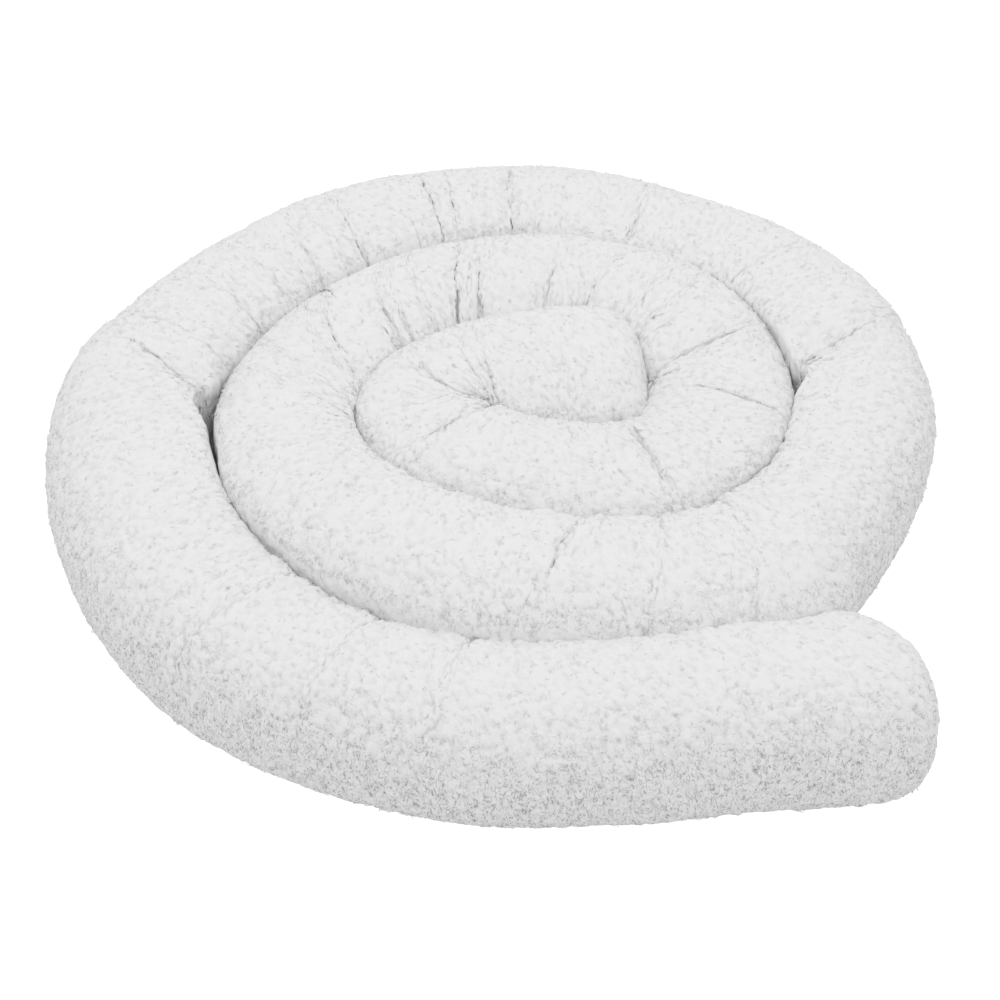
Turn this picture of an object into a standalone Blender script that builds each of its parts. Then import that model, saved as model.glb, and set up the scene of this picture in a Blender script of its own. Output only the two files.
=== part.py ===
"""Crib bumper roll: one long tube of curly fleece, softly stuffed and laid down in a flat coil.

The roll is a single piece. Its cover is a rectangle of cloth wrapped into a tube and drawn in at both
ends, so the mesh is made that way too: a flat grid, wrapped round a plan curve, with its seam welded.
Where two turns of the coil touch, each gives way to the other and both stop at the line midway between
them. Where the roll bends, the cloth on the inside of the bend is pinched into creases.

Metres, +Z up. The coil lies on z = 0, with its origin under the middle of its outline.
"""

import bmesh
import bpy
import numpy as np

# ---------------------------------------------------------------- driving sizes
UNDERSIDE_SINK = 0.0035  # how much of the round underside its own weight presses flat
TURN_GAP = 0.0016  # clear space between one turn and the next
END_LENGTH = 0.043  # length over which each end rounds off
END_ROUNDNESS = 3.2  # exponent of the end's outline: 2 is a ball, more is blunter
FREE_ROUNDNESS = 2.25  # exponent of the section's outline on a free side: 2 is an ellipse
PRESSED_ROUNDNESS = 2.8  # the same on a side that leans on another turn, which makes it squarer
LEANING_GAP = 0.012  # widest gap to another turn at which a side still counts as leaning on it
PRESS_REACH = 0.08  # how much further than its room such a side would swell, as a share
PRESS_HARDNESS = 25.0  # how flat a side goes where it is pressed
BEND_SHARE = 0.92  # most of the bend's radius that the inner side may take up
SAME_BEND = 0.10  # stretch of the roll, to each side of a place, that counts as the same bend
TIP_SHY = 0.038  # stretch at each tip that takes no room from the turn beside it, since it is thin
ROOM_EVENING = 0.012  # stretch, to each side of a place, over which the room is evened out
INNER_SWELL = 0.005  # extra reach of the inner side, where the bend bunches up the stuffing
SPREAD_MOST = 0.016  # widest gap that a side swells all the way across to meet the turn beside it

# ---------------------------------------------------------------- mesh steps
ROUND_STEPS = 24  # faces round the roll
RING_STEP = 0.024  # ring spacing along a plain stretch
LEAST_RING_STEP = 0.0045  # closest that two rings stand
END_RINGS = 7  # rings in each rounded end
CURVE_STEP = 0.003  # spacing of the points that the plan curve is measured on

# Hollows where two neighbouring turns stand a little apart: place along the roll, side (1 is the
# coil's outer side, -1 the inner side), half length and depth, in metres.
HOLLOW_COLUMNS = ("place", "side", "half_length", "depth")
HOLLOWS = (
    (0.655, -1, 0.022, 0.011),
    (1.480, -1, 0.015, 0.009),
    (2.045, 1, 0.022, 0.004),
)

# The roll's middle line seen from above, from the free outer end inwards, clockwise.
# across and along are the plan position, bulge is how far a free side stands from the middle line, and
# crown is the roll's height there; all in metres.
STATION_COLUMNS = ("across", "along", "bulge", "crown")
STATIONS = (
    # front stretch, nearly straight
    (0.250, -0.195, 0.046, 0.094),
    (0.135, -0.205, 0.050, 0.090),
    (0.020, -0.215, 0.050, 0.086),
    (-0.100, -0.190, 0.048, 0.090),
    # outer turn: left, back and right
    (-0.190, -0.115, 0.052, 0.094),
    (-0.240, -0.010, 0.058, 0.096),
    (-0.255, 0.095, 0.060, 0.096),
    (-0.240, 0.160, 0.052, 0.096),
    (-0.200, 0.225, 0.056, 0.100),
    (-0.110, 0.305, 0.062, 0.102),
    (0.005, 0.335, 0.064, 0.104),
    (0.130, 0.300, 0.060, 0.102),
    (0.225, 0.205, 0.064, 0.100),
    (0.250, 0.090, 0.056, 0.100),
    (0.220, -0.020, 0.046, 0.096),
    # second turn: front, left, back and right
    (0.150, -0.100, 0.050, 0.100),
    (0.045, -0.120, 0.052, 0.104),
    (-0.065, -0.085, 0.054, 0.104),
    (-0.135, -0.005, 0.054, 0.100),
    (-0.135, 0.095, 0.052, 0.096),
    (-0.085, 0.185, 0.050, 0.100),
    (0.005, 0.225, 0.052, 0.100),
    (0.110, 0.205, 0.052, 0.098),
    (0.155, 0.120, 0.050, 0.096),
    (0.140, 0.020, 0.050, 0.096),
    # third turn: front stretch, hairpin and inner end
    (0.065, -0.015, 0.052, 0.096),
    (0.005, -0.005, 0.052, 0.100),
    (-0.040, 0.020, 0.050, 0.098),
    (-0.055, 0.060, 0.052, 0.096),
    (-0.040, 0.090, 0.052, 0.098),
    (0.000, 0.110, 0.056, 0.100),
    (0.045, 0.120, 0.060, 0.100),
    (0.105, 0.115, 0.060, 0.100),
)

# Creases pinched into the roll where it bends.
# place is how far along the roll from its outer end, in metres; lean is the turn of the crease away from
# a square cut, in degrees; start and stop are how far round it runs, in degrees, from 0 on the coil's
# outer side over the crown at 90 to the inner side at 180; depth and width are in metres.
CREASE_COLUMNS = ("place", "lean", "start", "stop", "depth", "width")
CREASES = (
    # front stretch and left bend
    (0.281, -12, 106, 215, 0.006, 0.008),
    (0.348, -6, 108, 215, 0.005, 0.008),
    (0.425, 0, 112, 215, 0.005, 0.008),
    (0.712, -48, 78, 215, 0.014, 0.012),
    (0.745, -20, 112, 215, 0.003, 0.010),
    # outer turn: back and right
    (0.805, -10, 105, 215, 0.004, 0.010),
    (0.850, -14, 105, 215, 0.004, 0.010),
    (0.898, -32, 92, 215, 0.006, 0.009),
    (0.916, 0, 110, 215, 0.002, 0.008),
    (0.942, -18, 92, 215, 0.009, 0.009),
    (1.017, -6, 62, 215, 0.010, 0.008),
    (1.033, 0, 78, 150, 0.006, 0.008),
    (1.084, 4, 58, 215, 0.010, 0.008),
    (1.194, 14, 85, 215, 0.005, 0.009),
    (1.319, 8, 100, 215, 0.005, 0.009),
    (1.436, 44, 66, 215, 0.014, 0.012),
    # second turn: front, left, back and right
    (1.684, -30, 108, 215, 0.006, 0.009),
    (1.744, -20, 100, 215, 0.006, 0.009),
    (1.806, -22, 70, 215, 0.009, 0.010),
    (2.085, -38, 100, 215, 0.004, 0.010),
    (2.110, -46, 112, 215, 0.004, 0.009),
    (2.144, -52, 92, 215, 0.006, 0.008),
    (2.161, -56, 78, 215, 0.008, 0.009),
    (2.219, -46, 92, 215, 0.008, 0.009),
    (2.232, -34, 105, 215, 0.005, 0.008),
    (2.251, -22, 112, 215, 0.006, 0.008),
    (2.287, -28, 56, 215, 0.011, 0.008),
    (2.298, -26, 76, 130, 0.005, 0.007),
    (2.308, -26, 86, 215, 0.008, 0.008),
    (2.363, -14, 88, 215, 0.005, 0.009),
    (2.406, -19, 78, 215, 0.007, 0.009),
    (2.444, 24, 92, 215, 0.005, 0.009),
    (2.470, 30, 100, 215, 0.007, 0.009),
    (2.524, 26, 62, 215, 0.010, 0.010),
    (2.593, -20, 36, 125, 0.010, 0.010),
    (2.686, 0, 54, 135, 0.009, 0.010),
    # third turn: the hairpin
    (2.831, -6, 68, 215, 0.010, 0.009),
    (2.898, -34, 78, 215, 0.010, 0.008),
    (2.935, -20, 90, 215, 0.009, 0.008),
    (2.945, -4, 92, 215, 0.008, 0.008),
)
CREASE_RISE = 50.0  # degrees over which a crease deepens from its start
CREASE_FALL = 30.0  # degrees over which it fades before its stop
LEAN_REACH = 0.018  # how far along the roll a crease leans the cloth beside it
LEAN_REST = 0.35  # weight of the upright cloth in that lean

COVER_COLOUR = (0.83, 0.83, 0.83, 1.0)
COVER_ROUGHNESS = 0.95


def column(table, names, name):
    """One named column of a table, as an array."""
    return np.array([row[names.index(name)] for row in table], float)


def clear_scene():
    """Remove every object that the file starts with."""
    for old in list(bpy.data.objects):
        bpy.data.objects.remove(old, do_unlink=True)


def spline(knots, values, at):
    """Natural cubic spline through the values, read at the given places."""
    steps = np.diff(knots)[:, None]
    slopes = np.diff(values, axis=0) / steps
    count = len(knots)
    system = np.eye(count)
    right = np.zeros_like(values)
    inner = np.arange(1, count - 1)
    system[inner, inner - 1] = steps[:-1, 0]
    system[inner, inner] = 2 * (steps[:-1, 0] + steps[1:, 0])
    system[inner, inner + 1] = steps[1:, 0]
    right[inner] = 6 * np.diff(slopes, axis=0)
    curvature = np.linalg.solve(system, right)
    left = np.clip(np.searchsorted(knots, at, side="right") - 1, 0, count - 2)
    step = steps[left]
    before = (knots[left + 1] - at)[:, None] / step
    after = (at - knots[left])[:, None] / step
    return (
        before * values[left]
        + after * values[left + 1]
        + ((before**3 - before) * curvature[left] + (after**3 - after) * curvature[left + 1])
        * step**2
        / 6
    )


def running(values, half_width, how):
    """Running minimum or weighted mean of an array, over half_width entries to each side."""
    padded = np.pad(values, half_width, mode="edge")
    windows = np.lib.stride_tricks.sliding_window_view(padded, 2 * half_width + 1)
    if how == "least":
        return windows.min(axis=1)
    weights = np.hanning(2 * half_width + 3)[1:-1]
    return windows @ (weights / weights.sum())


def measure_middle_line():
    """The roll's middle line at even steps: places along it, points, outward normals, bulge and crown."""
    stations = np.column_stack([column(STATIONS, STATION_COLUMNS, name) for name in STATION_COLUMNS])
    chords = np.linalg.norm(np.diff(stations[:, :2], axis=0), axis=1)
    knots = np.concatenate([[0.0], np.cumsum(chords)])
    fine = np.linspace(0.0, knots[-1], 40 * len(STATIONS))
    curve = spline(knots, stations, fine)
    travelled = np.concatenate(
        [[0.0], np.cumsum(np.linalg.norm(np.diff(curve[:, :2], axis=0), axis=1))]
    )
    places = np.linspace(0.0, travelled[-1], int(travelled[-1] / CURVE_STEP) + 1)
    points = np.column_stack([np.interp(places, travelled, curve[:, i]) for i in (0, 1)])
    bulge, crown = (
        np.interp(places, travelled, np.interp(fine, knots, stations[:, i])) for i in (2, 3)
    )
    tangents = np.gradient(points, places, axis=0)
    tangents /= np.linalg.norm(tangents, axis=1)[:, None]
    outward = np.column_stack([-tangents[:, 1], tangents[:, 0]])
    return places, points, outward, bulge, crown


def side_room(places, points, outward, side):
    """How far the roll can reach on one side before it meets another turn, or its own bend.

    It is the radius of the largest circle that touches the middle line at a point, stands on that side
    of it, and holds no other point of the line. The centre of that circle is midway between two turns.
    The thin tips don't count. Returned with it is the room up to other turns alone.
    """
    apart = points[None, :, :] - points[:, None, :]
    ahead = (apart * (side * outward)[:, None, :]).sum(axis=2)
    square = (apart**2).sum(axis=2)
    radius = np.where(ahead > 1e-6, square / (2 * np.maximum(ahead, 1e-6)), 1.0)
    along = np.abs(places[:, None] - places[None, :])
    radius[along < 4 * CURVE_STEP] = 1.0
    radius[:, np.minimum(places, places[-1] - places) < TIP_SHY] = 1.0
    bend = np.where(along < SAME_BEND, radius, 1.0).min(axis=1) * BEND_SHARE
    other = np.where(along < SAME_BEND, 1.0, radius).min(axis=1) - TURN_GAP / 2
    reach = int(ROOM_EVENING / CURVE_STEP)
    room = running(running(np.minimum(bend, other), reach, "least"), reach, "mean")
    for place, _, half_length, depth in (hollow for hollow in HOLLOWS if hollow[1] == side):
        room -= depth * np.exp(-(((places - place) / half_length) ** 2))
    return room, running(other, reach, "mean")


def spread(gap):
    """How far a side swells across a gap to the turn beside it: all the way, unless the gap is wide."""
    return np.clip(gap, 0, None) * (1 - ramp((gap - SPREAD_MOST) / SPREAD_MOST))


def rounding(share, power):
    """A value from 0 to 1 that rises as a quarter of a superellipse."""
    return (1 - (1 - np.clip(share, 0, 1)) ** power) ** (1 / power)


def superellipse(share, power):
    """A cosine or sine raised to a power below 1, which squares the circle it comes from."""
    return np.sign(share) * np.abs(share) ** power


def ramp(share):
    """Smooth step from 0 to 1."""
    held = np.clip(share, 0, 1)
    return held * held * (3 - 2 * held)


def ring_places(length):
    """Where the rings stand: even steps, three at each crease, and closer ones in the rounded ends."""
    creases = column(CREASES, CREASE_COLUMNS, "place")
    widths = column(CREASES, CREASE_COLUMNS, "width")
    wanted = [*creases, *(creases - widths), *(creases + widths)]
    turned = np.linspace(0, np.pi / 2, END_RINGS + 1)
    ends = END_LENGTH * (1 - np.cos(turned))
    wanted += [*ends, *(length - ends)]
    plain = np.arange(END_LENGTH, length - END_LENGTH, RING_STEP)
    kept = sorted(wanted[: len(creases)] + [*ends, *(length - ends)])
    for place in [*wanted, *plain]:
        least = LEAST_RING_STEP if place in wanted else 0.5 * RING_STEP
        if min(abs(place - other) for other in kept) >= least:
            kept.append(place)
    return np.array(sorted(kept))


def cloth_lean(places):
    """Slope by which the cloth at each place leans with the creases near it."""
    creases = column(CREASES, CREASE_COLUMNS, "place")
    slopes = np.tan(np.radians(column(CREASES, CREASE_COLUMNS, "lean")))
    weights = np.exp(-(((places[:, None] - creases) / LEAN_REACH) ** 2))
    return (weights * slopes).sum(axis=1) / (weights.sum(axis=1) + LEAN_REST)


def crease_depth(places, degrees):
    """Depth of all creases on a grid of places along the roll and degrees round it."""
    total = np.zeros((len(places), len(degrees)))
    for place, _, start, stop, depth, width in CREASES:
        along = np.exp(-(((places - place) / width) ** 2))
        rise = ramp((degrees - start) / CREASE_RISE)
        fall = ramp((stop - degrees) / CREASE_FALL)
        total = np.maximum(total, depth * np.outer(along, rise * fall))
    return total


def roll_surface(places, degrees, line):
    """Points of the roll's surface on a grid of places along it and degrees round it."""
    known, points, outward, bulge, crown = line
    length = known[-1]
    room, neighbour, outer = {}, {}, np.cos(np.radians(degrees)) > 0
    for side in (1, -1):
        room[side], neighbour[side] = side_room(known, points, outward, side)
    gap = {side: neighbour[side] - bulge for side in (1, -1)}
    reach = {side: bulge + spread(gap[side]) for side in (1, -1)}

    def read(at, values):
        """Values kept along the line for each side, at the places, on the side of each angle."""
        return np.where(outer, *(np.interp(at, known, values[side]) for side in (1, -1)))

    even = places[:, None]
    leaning = ramp(1 - read(even, gap) / LEANING_GAP)
    power = 2 / (FREE_ROUNDNESS + (PRESSED_ROUNDNESS - FREE_ROUNDNESS) * leaning)
    sideways = superellipse(np.cos(np.radians(degrees)), power)
    upwards = superellipse(np.sin(np.radians(degrees)), power)
    half_height = (np.interp(even, known, crown) + UNDERSIDE_SINK) / 2
    end = rounding(np.minimum(even, length - even) / END_LENGTH, END_ROUNDNESS)
    pinch = end * (1 - crease_depth(places, degrees) / half_height)

    free = read(even, reach) + INNER_SWELL * ramp(-sideways)
    loose = free * (1 + PRESS_REACH * leaning) * pinch * sideways
    shifted = even - cloth_lean(places)[:, None] * loose
    limit = read(shifted, room)
    pressed = loose / (1 + (np.abs(loose) / limit) ** PRESS_HARDNESS) ** (1 / PRESS_HARDNESS)
    position = [
        np.interp(shifted, known, points[:, i]) + pressed * np.interp(shifted, known, outward[:, i])
        for i in (0, 1)
    ]
    height = half_height * (1 + pinch * upwards) - UNDERSIDE_SINK
    return np.stack([*position, np.maximum(height, 0.0)], axis=2)


def wrap_cloth(surface):
    """Mesh of a flat grid laid onto the surface, closed along its seam and at its two drawn-in ends."""
    rings, steps, _ = surface.shape
    mesh_cloth = bmesh.new()
    bmesh.ops.create_grid(mesh_cloth, x_segments=rings - 1, y_segments=steps - 1, size=1.0)
    for vert in mesh_cloth.verts:
        ring = round((vert.co.x + 1) / 2 * (rings - 1))
        step = round((vert.co.y + 1) / 2 * (steps - 1))
        vert.co = surface[ring, step]
    bmesh.ops.remove_doubles(mesh_cloth, verts=mesh_cloth.verts, dist=1e-5)
    bmesh.ops.recalc_face_normals(mesh_cloth, faces=mesh_cloth.faces)
    mesh = bpy.data.meshes.new("bumper_roll")
    mesh_cloth.to_mesh(mesh)
    mesh_cloth.free()
    mesh.shade_smooth()
    return mesh


def fleece():
    """White curly fleece."""
    material = bpy.data.materials.new("fleece")
    material.use_nodes = True
    shader = material.node_tree.nodes["Principled BSDF"]
    shader.inputs["Base Color"].default_value = COVER_COLOUR
    shader.inputs["Roughness"].default_value = COVER_ROUGHNESS
    shader.inputs["Metallic"].default_value = 0.0
    return material


def build_roll():
    """The coiled roll as one closed solid, with the middle of its outline over the origin."""
    line = measure_middle_line()
    degrees = np.linspace(0, 360, ROUND_STEPS + 1)
    surface = roll_surface(ring_places(line[0][-1]), degrees, line)
    surface[:, -1] = surface[:, 0]
    outline = surface[..., :2].reshape(-1, 2)
    surface[..., :2] -= (outline.min(axis=0) + outline.max(axis=0)) / 2
    roll = bpy.data.objects.new("bumper_roll", wrap_cloth(surface))
    roll.data.materials.append(fleece())
    return roll


def main():
    clear_scene()
    collection = bpy.data.collections.new("crib_bumper_roll")
    bpy.context.scene.collection.children.link(collection)
    collection.objects.link(build_roll())


main()
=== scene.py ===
# %% [markdown]
# # A crib bumper roll in curly fleece
#
# A bumper roll is one tube of fleece, about three metres long and as thick as an arm, filled with soft
# stuffing and closed at both ends. Here it lies on the floor, wound into a flat coil of two and a half
# turns. The lesson builds it the way it is made: first the line that the roll follows, then the creases
# that bending presses into it, then the smooth stuffed cover round that line, and at last the curls of the
# pile. Everything is in metres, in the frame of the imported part, so the first step loads that frame.

import bpy
import numpy as np
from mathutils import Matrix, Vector


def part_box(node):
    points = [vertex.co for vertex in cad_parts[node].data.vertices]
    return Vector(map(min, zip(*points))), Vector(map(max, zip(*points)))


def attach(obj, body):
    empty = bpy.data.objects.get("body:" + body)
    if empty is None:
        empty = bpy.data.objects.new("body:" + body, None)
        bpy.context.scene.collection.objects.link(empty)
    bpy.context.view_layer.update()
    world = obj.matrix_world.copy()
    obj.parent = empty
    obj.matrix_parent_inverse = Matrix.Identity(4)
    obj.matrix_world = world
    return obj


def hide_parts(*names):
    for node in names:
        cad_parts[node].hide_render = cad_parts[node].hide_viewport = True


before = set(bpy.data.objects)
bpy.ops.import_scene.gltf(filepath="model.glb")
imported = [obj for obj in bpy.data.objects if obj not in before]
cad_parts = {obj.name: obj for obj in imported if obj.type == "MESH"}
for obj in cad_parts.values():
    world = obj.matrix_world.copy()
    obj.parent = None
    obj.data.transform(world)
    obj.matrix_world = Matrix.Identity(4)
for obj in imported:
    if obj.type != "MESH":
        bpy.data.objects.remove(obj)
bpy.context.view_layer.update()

roll_low, roll_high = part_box("bumper_roll")
print("the packed roll measures", [round(high - low, 4) for low, high in zip(roll_low, roll_high)], "m")

# %% [markdown]
# ## The camera
#
# The roll is seen from the front and from above, as someone standing beside it would see it. The camera
# aims at a point in front of the coil's middle, at about half the roll's height, and its place is worked
# out from that point with an angle and a distance. That way the angle can be changed on its own, which is
# harder when the place is three bare numbers.

# %% Camera
CAMERA_LIFT = np.radians(39.0)
CAMERA_DISTANCE = 1.19
CAMERA_LENS = 63.75
AIM_FROM_MIDDLE = Vector((0.0045, -0.067, 0.046))

aim = Vector(((roll_low.x + roll_high.x) / 2, (roll_low.y + roll_high.y) / 2, roll_low.z)) + AIM_FROM_MIDDLE
back = Vector((0.0, -np.cos(CAMERA_LIFT), np.sin(CAMERA_LIFT)))
camera = bpy.data.objects.new("camera", bpy.data.cameras.new("camera"))
camera.data.lens = CAMERA_LENS
camera.location = aim + CAMERA_DISTANCE * back
camera.rotation_euler = back.to_track_quat("Z", "Y").to_euler()
bpy.context.scene.collection.objects.link(camera)
bpy.context.scene.camera = camera
print("the camera stands", round(camera.location.z, 3), "m above the floor")

# %% [markdown]
# ## The floor and the light
#
# White cloth on a white floor shows its form only by soft shade. The light is therefore a bright, even
# sky, with one wide lamp overhead to make the crowns a little brighter than the sides. The floor is a plain
# white plane that glows slightly, which keeps it as clean as a studio's paper sweep. The Standard view
# transform is used because it keeps whites white, where the filmic ones would turn them grey.

# %% Floor, sky and lamp
SKY_STRENGTH = 0.78
LAMP_POWER = 6.5
LAMP_LIFT = np.radians(83.0)
LAMP_TURN = np.radians(165.0)
LAMP_DISTANCE = 1.8
LAMP_WIDTH = 1.8
FLOOR_WIDTH = 14.0
FLOOR_DROP = 0.0005
FLOOR_TONE = 0.9
FLOOR_ROUGHNESS = 0.9
FLOOR_GLOW = 0.93
GLOW_STRENGTH = 1.15


def plain_material(name, colour, roughness):
    """A material with a Principled shader in one colour; returned with its shader node."""
    made = bpy.data.materials.new(name)
    made.use_nodes = True
    shader = made.node_tree.nodes["Principled BSDF"]
    shader.inputs["Base Color"].default_value = (*colour, 1.0)
    shader.inputs["Roughness"].default_value = roughness
    return made, shader


def studio_paper():
    """Matt white paper. To the eye it glows, as paper lit from behind does, and to the rest of the scene
    it is plain paper, so that its glow doesn't light the roll from below."""
    paper, shader = plain_material("studio_paper", (FLOOR_TONE,) * 3, FLOOR_ROUGHNESS)
    nodes, links = paper.node_tree.nodes, paper.node_tree.links
    glow, path = nodes.new("ShaderNodeEmission"), nodes.new("ShaderNodeLightPath")
    seen, mixed = nodes.new("ShaderNodeMath"), nodes.new("ShaderNodeMixShader")
    seen.operation = "MULTIPLY"
    seen.inputs[1].default_value = FLOOR_GLOW
    glow.inputs["Strength"].default_value = GLOW_STRENGTH
    links.new(path.outputs["Is Camera Ray"], seen.inputs[0])
    links.new(seen.outputs["Value"], mixed.inputs["Fac"])
    links.new(shader.outputs["BSDF"], mixed.inputs[1])
    links.new(glow.outputs["Emission"], mixed.inputs[2])
    links.new(mixed.outputs["Shader"], nodes["Material Output"].inputs["Surface"])
    return paper


def studio():
    """The floor as one square plane, the sky as an even world colour, and a square lamp that hangs almost
    straight above the roll, slightly behind it."""
    half = FLOOR_WIDTH / 2
    corners = [(-half, -half, 0.0), (half, -half, 0.0), (half, half, 0.0), (-half, half, 0.0)]
    plane = bpy.data.meshes.new("floor")
    plane.from_pydata(corners, [], [(0, 1, 2, 3)])
    plane.materials.append(studio_paper())
    floor = bpy.data.objects.new("floor", plane)
    floor.location.z = roll_low.z - FLOOR_DROP
    bpy.context.scene.collection.objects.link(floor)

    sky = bpy.data.worlds.new("sky")
    sky.use_nodes = True
    sky.node_tree.nodes["Background"].inputs["Color"].default_value = (1.0, 1.0, 1.0, 1.0)
    sky.node_tree.nodes["Background"].inputs["Strength"].default_value = SKY_STRENGTH
    bpy.context.scene.world = sky

    lamp = bpy.data.objects.new("lamp", bpy.data.lights.new("lamp", "AREA"))
    lamp.data.size = LAMP_WIDTH
    lamp.data.energy = LAMP_POWER
    flat = np.cos(LAMP_LIFT)
    towards = Vector((-flat * np.sin(LAMP_TURN), -flat * np.cos(LAMP_TURN), np.sin(LAMP_LIFT)))
    lamp.location = aim + LAMP_DISTANCE * towards
    lamp.rotation_euler = towards.to_track_quat("Z", "Y").to_euler()
    bpy.context.scene.collection.objects.link(lamp)


studio()
bpy.context.scene.view_settings.view_transform = "Standard"
print("floor", FLOOR_WIDTH, "m wide; lamp", LAMP_WIDTH, "m wide,", LAMP_DISTANCE, "m away")

# %% [markdown]
# ## The line that the roll follows
#
# Seen from above, the middle of the roll runs along a spiral that no formula gives, because it was laid
# down by hand: nearly straight in front, wide round the back, and bent back on itself in the middle. A
# natural cubic spline through 33 stations describes it. These stations are the ones that the packed
# part is built on, so the cover follows its solid closely.

# %% Stations along the middle line
ROLL_HEIGHT = 0.098
UNDERSIDE_SINK = 0.0035
LINE_STEP = 0.003
SPLINE_SAMPLES = 40
STATIONS = np.array([
    # across, along, how far a free side stands from the line, and height of the crown
    # front stretch, nearly straight
    (0.250, -0.195, 0.046, 0.094), (0.135, -0.205, 0.050, 0.090), (0.020, -0.215, 0.050, 0.086),
    (-0.100, -0.190, 0.048, 0.090),
    # outer turn: left, back and right
    (-0.190, -0.115, 0.052, 0.094), (-0.240, -0.010, 0.058, 0.096), (-0.255, 0.095, 0.060, 0.096),
    (-0.240, 0.160, 0.052, 0.096), (-0.200, 0.225, 0.056, 0.100), (-0.110, 0.305, 0.062, 0.102),
    (0.005, 0.335, 0.064, 0.104), (0.130, 0.300, 0.060, 0.102), (0.225, 0.205, 0.064, 0.100),
    (0.250, 0.090, 0.056, 0.100), (0.220, -0.020, 0.046, 0.096),
    # second turn: front, left, back and right
    (0.150, -0.100, 0.050, 0.100), (0.045, -0.120, 0.052, 0.104), (-0.065, -0.085, 0.054, 0.104),
    (-0.135, -0.005, 0.054, 0.100), (-0.135, 0.095, 0.052, 0.096), (-0.085, 0.185, 0.050, 0.100),
    (0.005, 0.225, 0.052, 0.100), (0.110, 0.205, 0.052, 0.098), (0.155, 0.120, 0.050, 0.096),
    (0.140, 0.020, 0.050, 0.096),
    # third turn: front stretch, hairpin and inner end
    (0.065, -0.015, 0.052, 0.096), (0.005, -0.005, 0.052, 0.100), (-0.040, 0.020, 0.050, 0.098),
    (-0.055, 0.060, 0.052, 0.096), (-0.040, 0.090, 0.052, 0.098), (0.000, 0.110, 0.056, 0.100),
    (0.045, 0.120, 0.060, 0.100), (0.105, 0.115, 0.060, 0.100),
])


def spline(knots, values, at):
    """Natural cubic spline: between two knots the curve is their straight mix plus the cubic that makes
    slope and curvature continuous; the curvatures at the knots solve one linear system."""
    steps = np.diff(knots)[:, None]
    slopes = np.diff(values, axis=0) / steps
    system, right = np.eye(len(knots)), np.zeros_like(values)
    inner = np.arange(1, len(knots) - 1)
    system[inner, inner - 1] = steps[:-1, 0]
    system[inner, inner] = 2 * (steps[:-1, 0] + steps[1:, 0])
    system[inner, inner + 1] = steps[1:, 0]
    right[inner] = 6 * np.diff(slopes, axis=0)
    curvature = np.linalg.solve(system, right)
    left = np.clip(np.searchsorted(knots, at, side="right") - 1, 0, len(knots) - 2)
    step = steps[left]
    before = (knots[left + 1] - at)[:, None] / step
    after = (at - knots[left])[:, None] / step
    bend = (before**3 - before) * curvature[left] + (after**3 - after) * curvature[left + 1]
    return before * values[left] + after * values[left + 1] + bend * step**2 / 6


def middle_line():
    """The spline read at even steps of length: places, plan points, outward normals, bulge and crown."""
    knots = np.concatenate([[0.0], np.cumsum(np.linalg.norm(np.diff(STATIONS[:, :2], axis=0), axis=1))])
    fine = np.linspace(0.0, knots[-1], SPLINE_SAMPLES * len(STATIONS))
    curve = spline(knots, STATIONS, fine)
    pieces = np.linalg.norm(np.diff(curve[:, :2], axis=0), axis=1)
    travelled = np.concatenate([[0.0], np.cumsum(pieces)])
    places = np.linspace(0.0, travelled[-1], int(travelled[-1] / LINE_STEP) + 1)
    points = np.column_stack([np.interp(places, travelled, curve[:, i]) for i in (0, 1)])
    bulge, crown = (np.interp(places, travelled, np.interp(fine, knots, STATIONS[:, i])) for i in (2, 3))
    tangents = np.gradient(points, places, axis=0)
    tangents /= np.linalg.norm(tangents, axis=1)[:, None]
    return places, points, np.column_stack([-tangents[:, 1], tangents[:, 0]]), bulge, crown


line_places, line_points, line_outward, line_bulge, line_crown = middle_line()
ROLL_LENGTH = line_places[-1]
print("the middle line is", round(ROLL_LENGTH, 3), "m long")

# %% [markdown]
# ## How much room each side has
#
# Where two turns lie side by side, each gives way and both stop at the line midway between them. That
# line is the set of centres of circles that touch the middle line twice, so the room on one side of a
# point is the radius of the largest circle that touches the line there and holds no other point of it.
# The same circle keeps the inner side of a bend from running through itself.
#
# Sides that only touch would leave a dark slit, while hairy cloth closes it. So at the back, and in front
# on the right, each side laps a few millimetres over that midway line, into the pile of the turn beside it.
# In a few short hollows the turns stand a little apart instead.

# %% Side room
NO_LIMIT = 1.0
TINY = 1e-6
OWN_STEPS = 4
BEND_SHARE = 0.97
SAME_BEND = 0.10
TIP_SHY = 0.053
ROOM_REACH = 0.012
TURN_BESIDE = 0.2
# laps behind the line y = LAP_FROM, for sides that face the front and the back, with the length over which
# they come in (m)
FAR_LAP = 0.008
NEAR_LAP = 0.003
LAP_FROM = 0.02
LAP_EASE = 0.10
# the lap in front: it comes in before y = FRONT_BEFORE and to the right of x = FRONT_RIGHT_OF (m)
FRONT_LAP = 0.006
FRONT_BEFORE = -0.05
FRONT_RIGHT_OF = -0.10
FRONT_EASE = 0.05
# hollows where two turns stand a little apart: place, side (1 outer, -1 inner), half length and depth (m)
HOLLOWS = ((0.655, -1, 0.022, 0.011), (1.480, -1, 0.015, 0.009), (2.045, 1, 0.022, 0.004))


def ramp(share):
    """Smooth step: 0 below 0, 1 above 1, and 3 x^2 - 2 x^3 between."""
    held = np.clip(share, 0, 1)
    return held * held * (3 - 2 * held)


def running(values, half_width, how):
    """Running minimum, or mean with a Hann window, over half_width entries to each side."""
    padded = np.pad(values, half_width, mode="edge")
    windows = np.lib.stride_tricks.sliding_window_view(padded, 2 * half_width + 1)
    if how == "least":
        return windows.min(axis=1)
    weights = np.hanning(2 * half_width + 3)[1:-1]
    return windows @ (weights / weights.sum())


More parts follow.
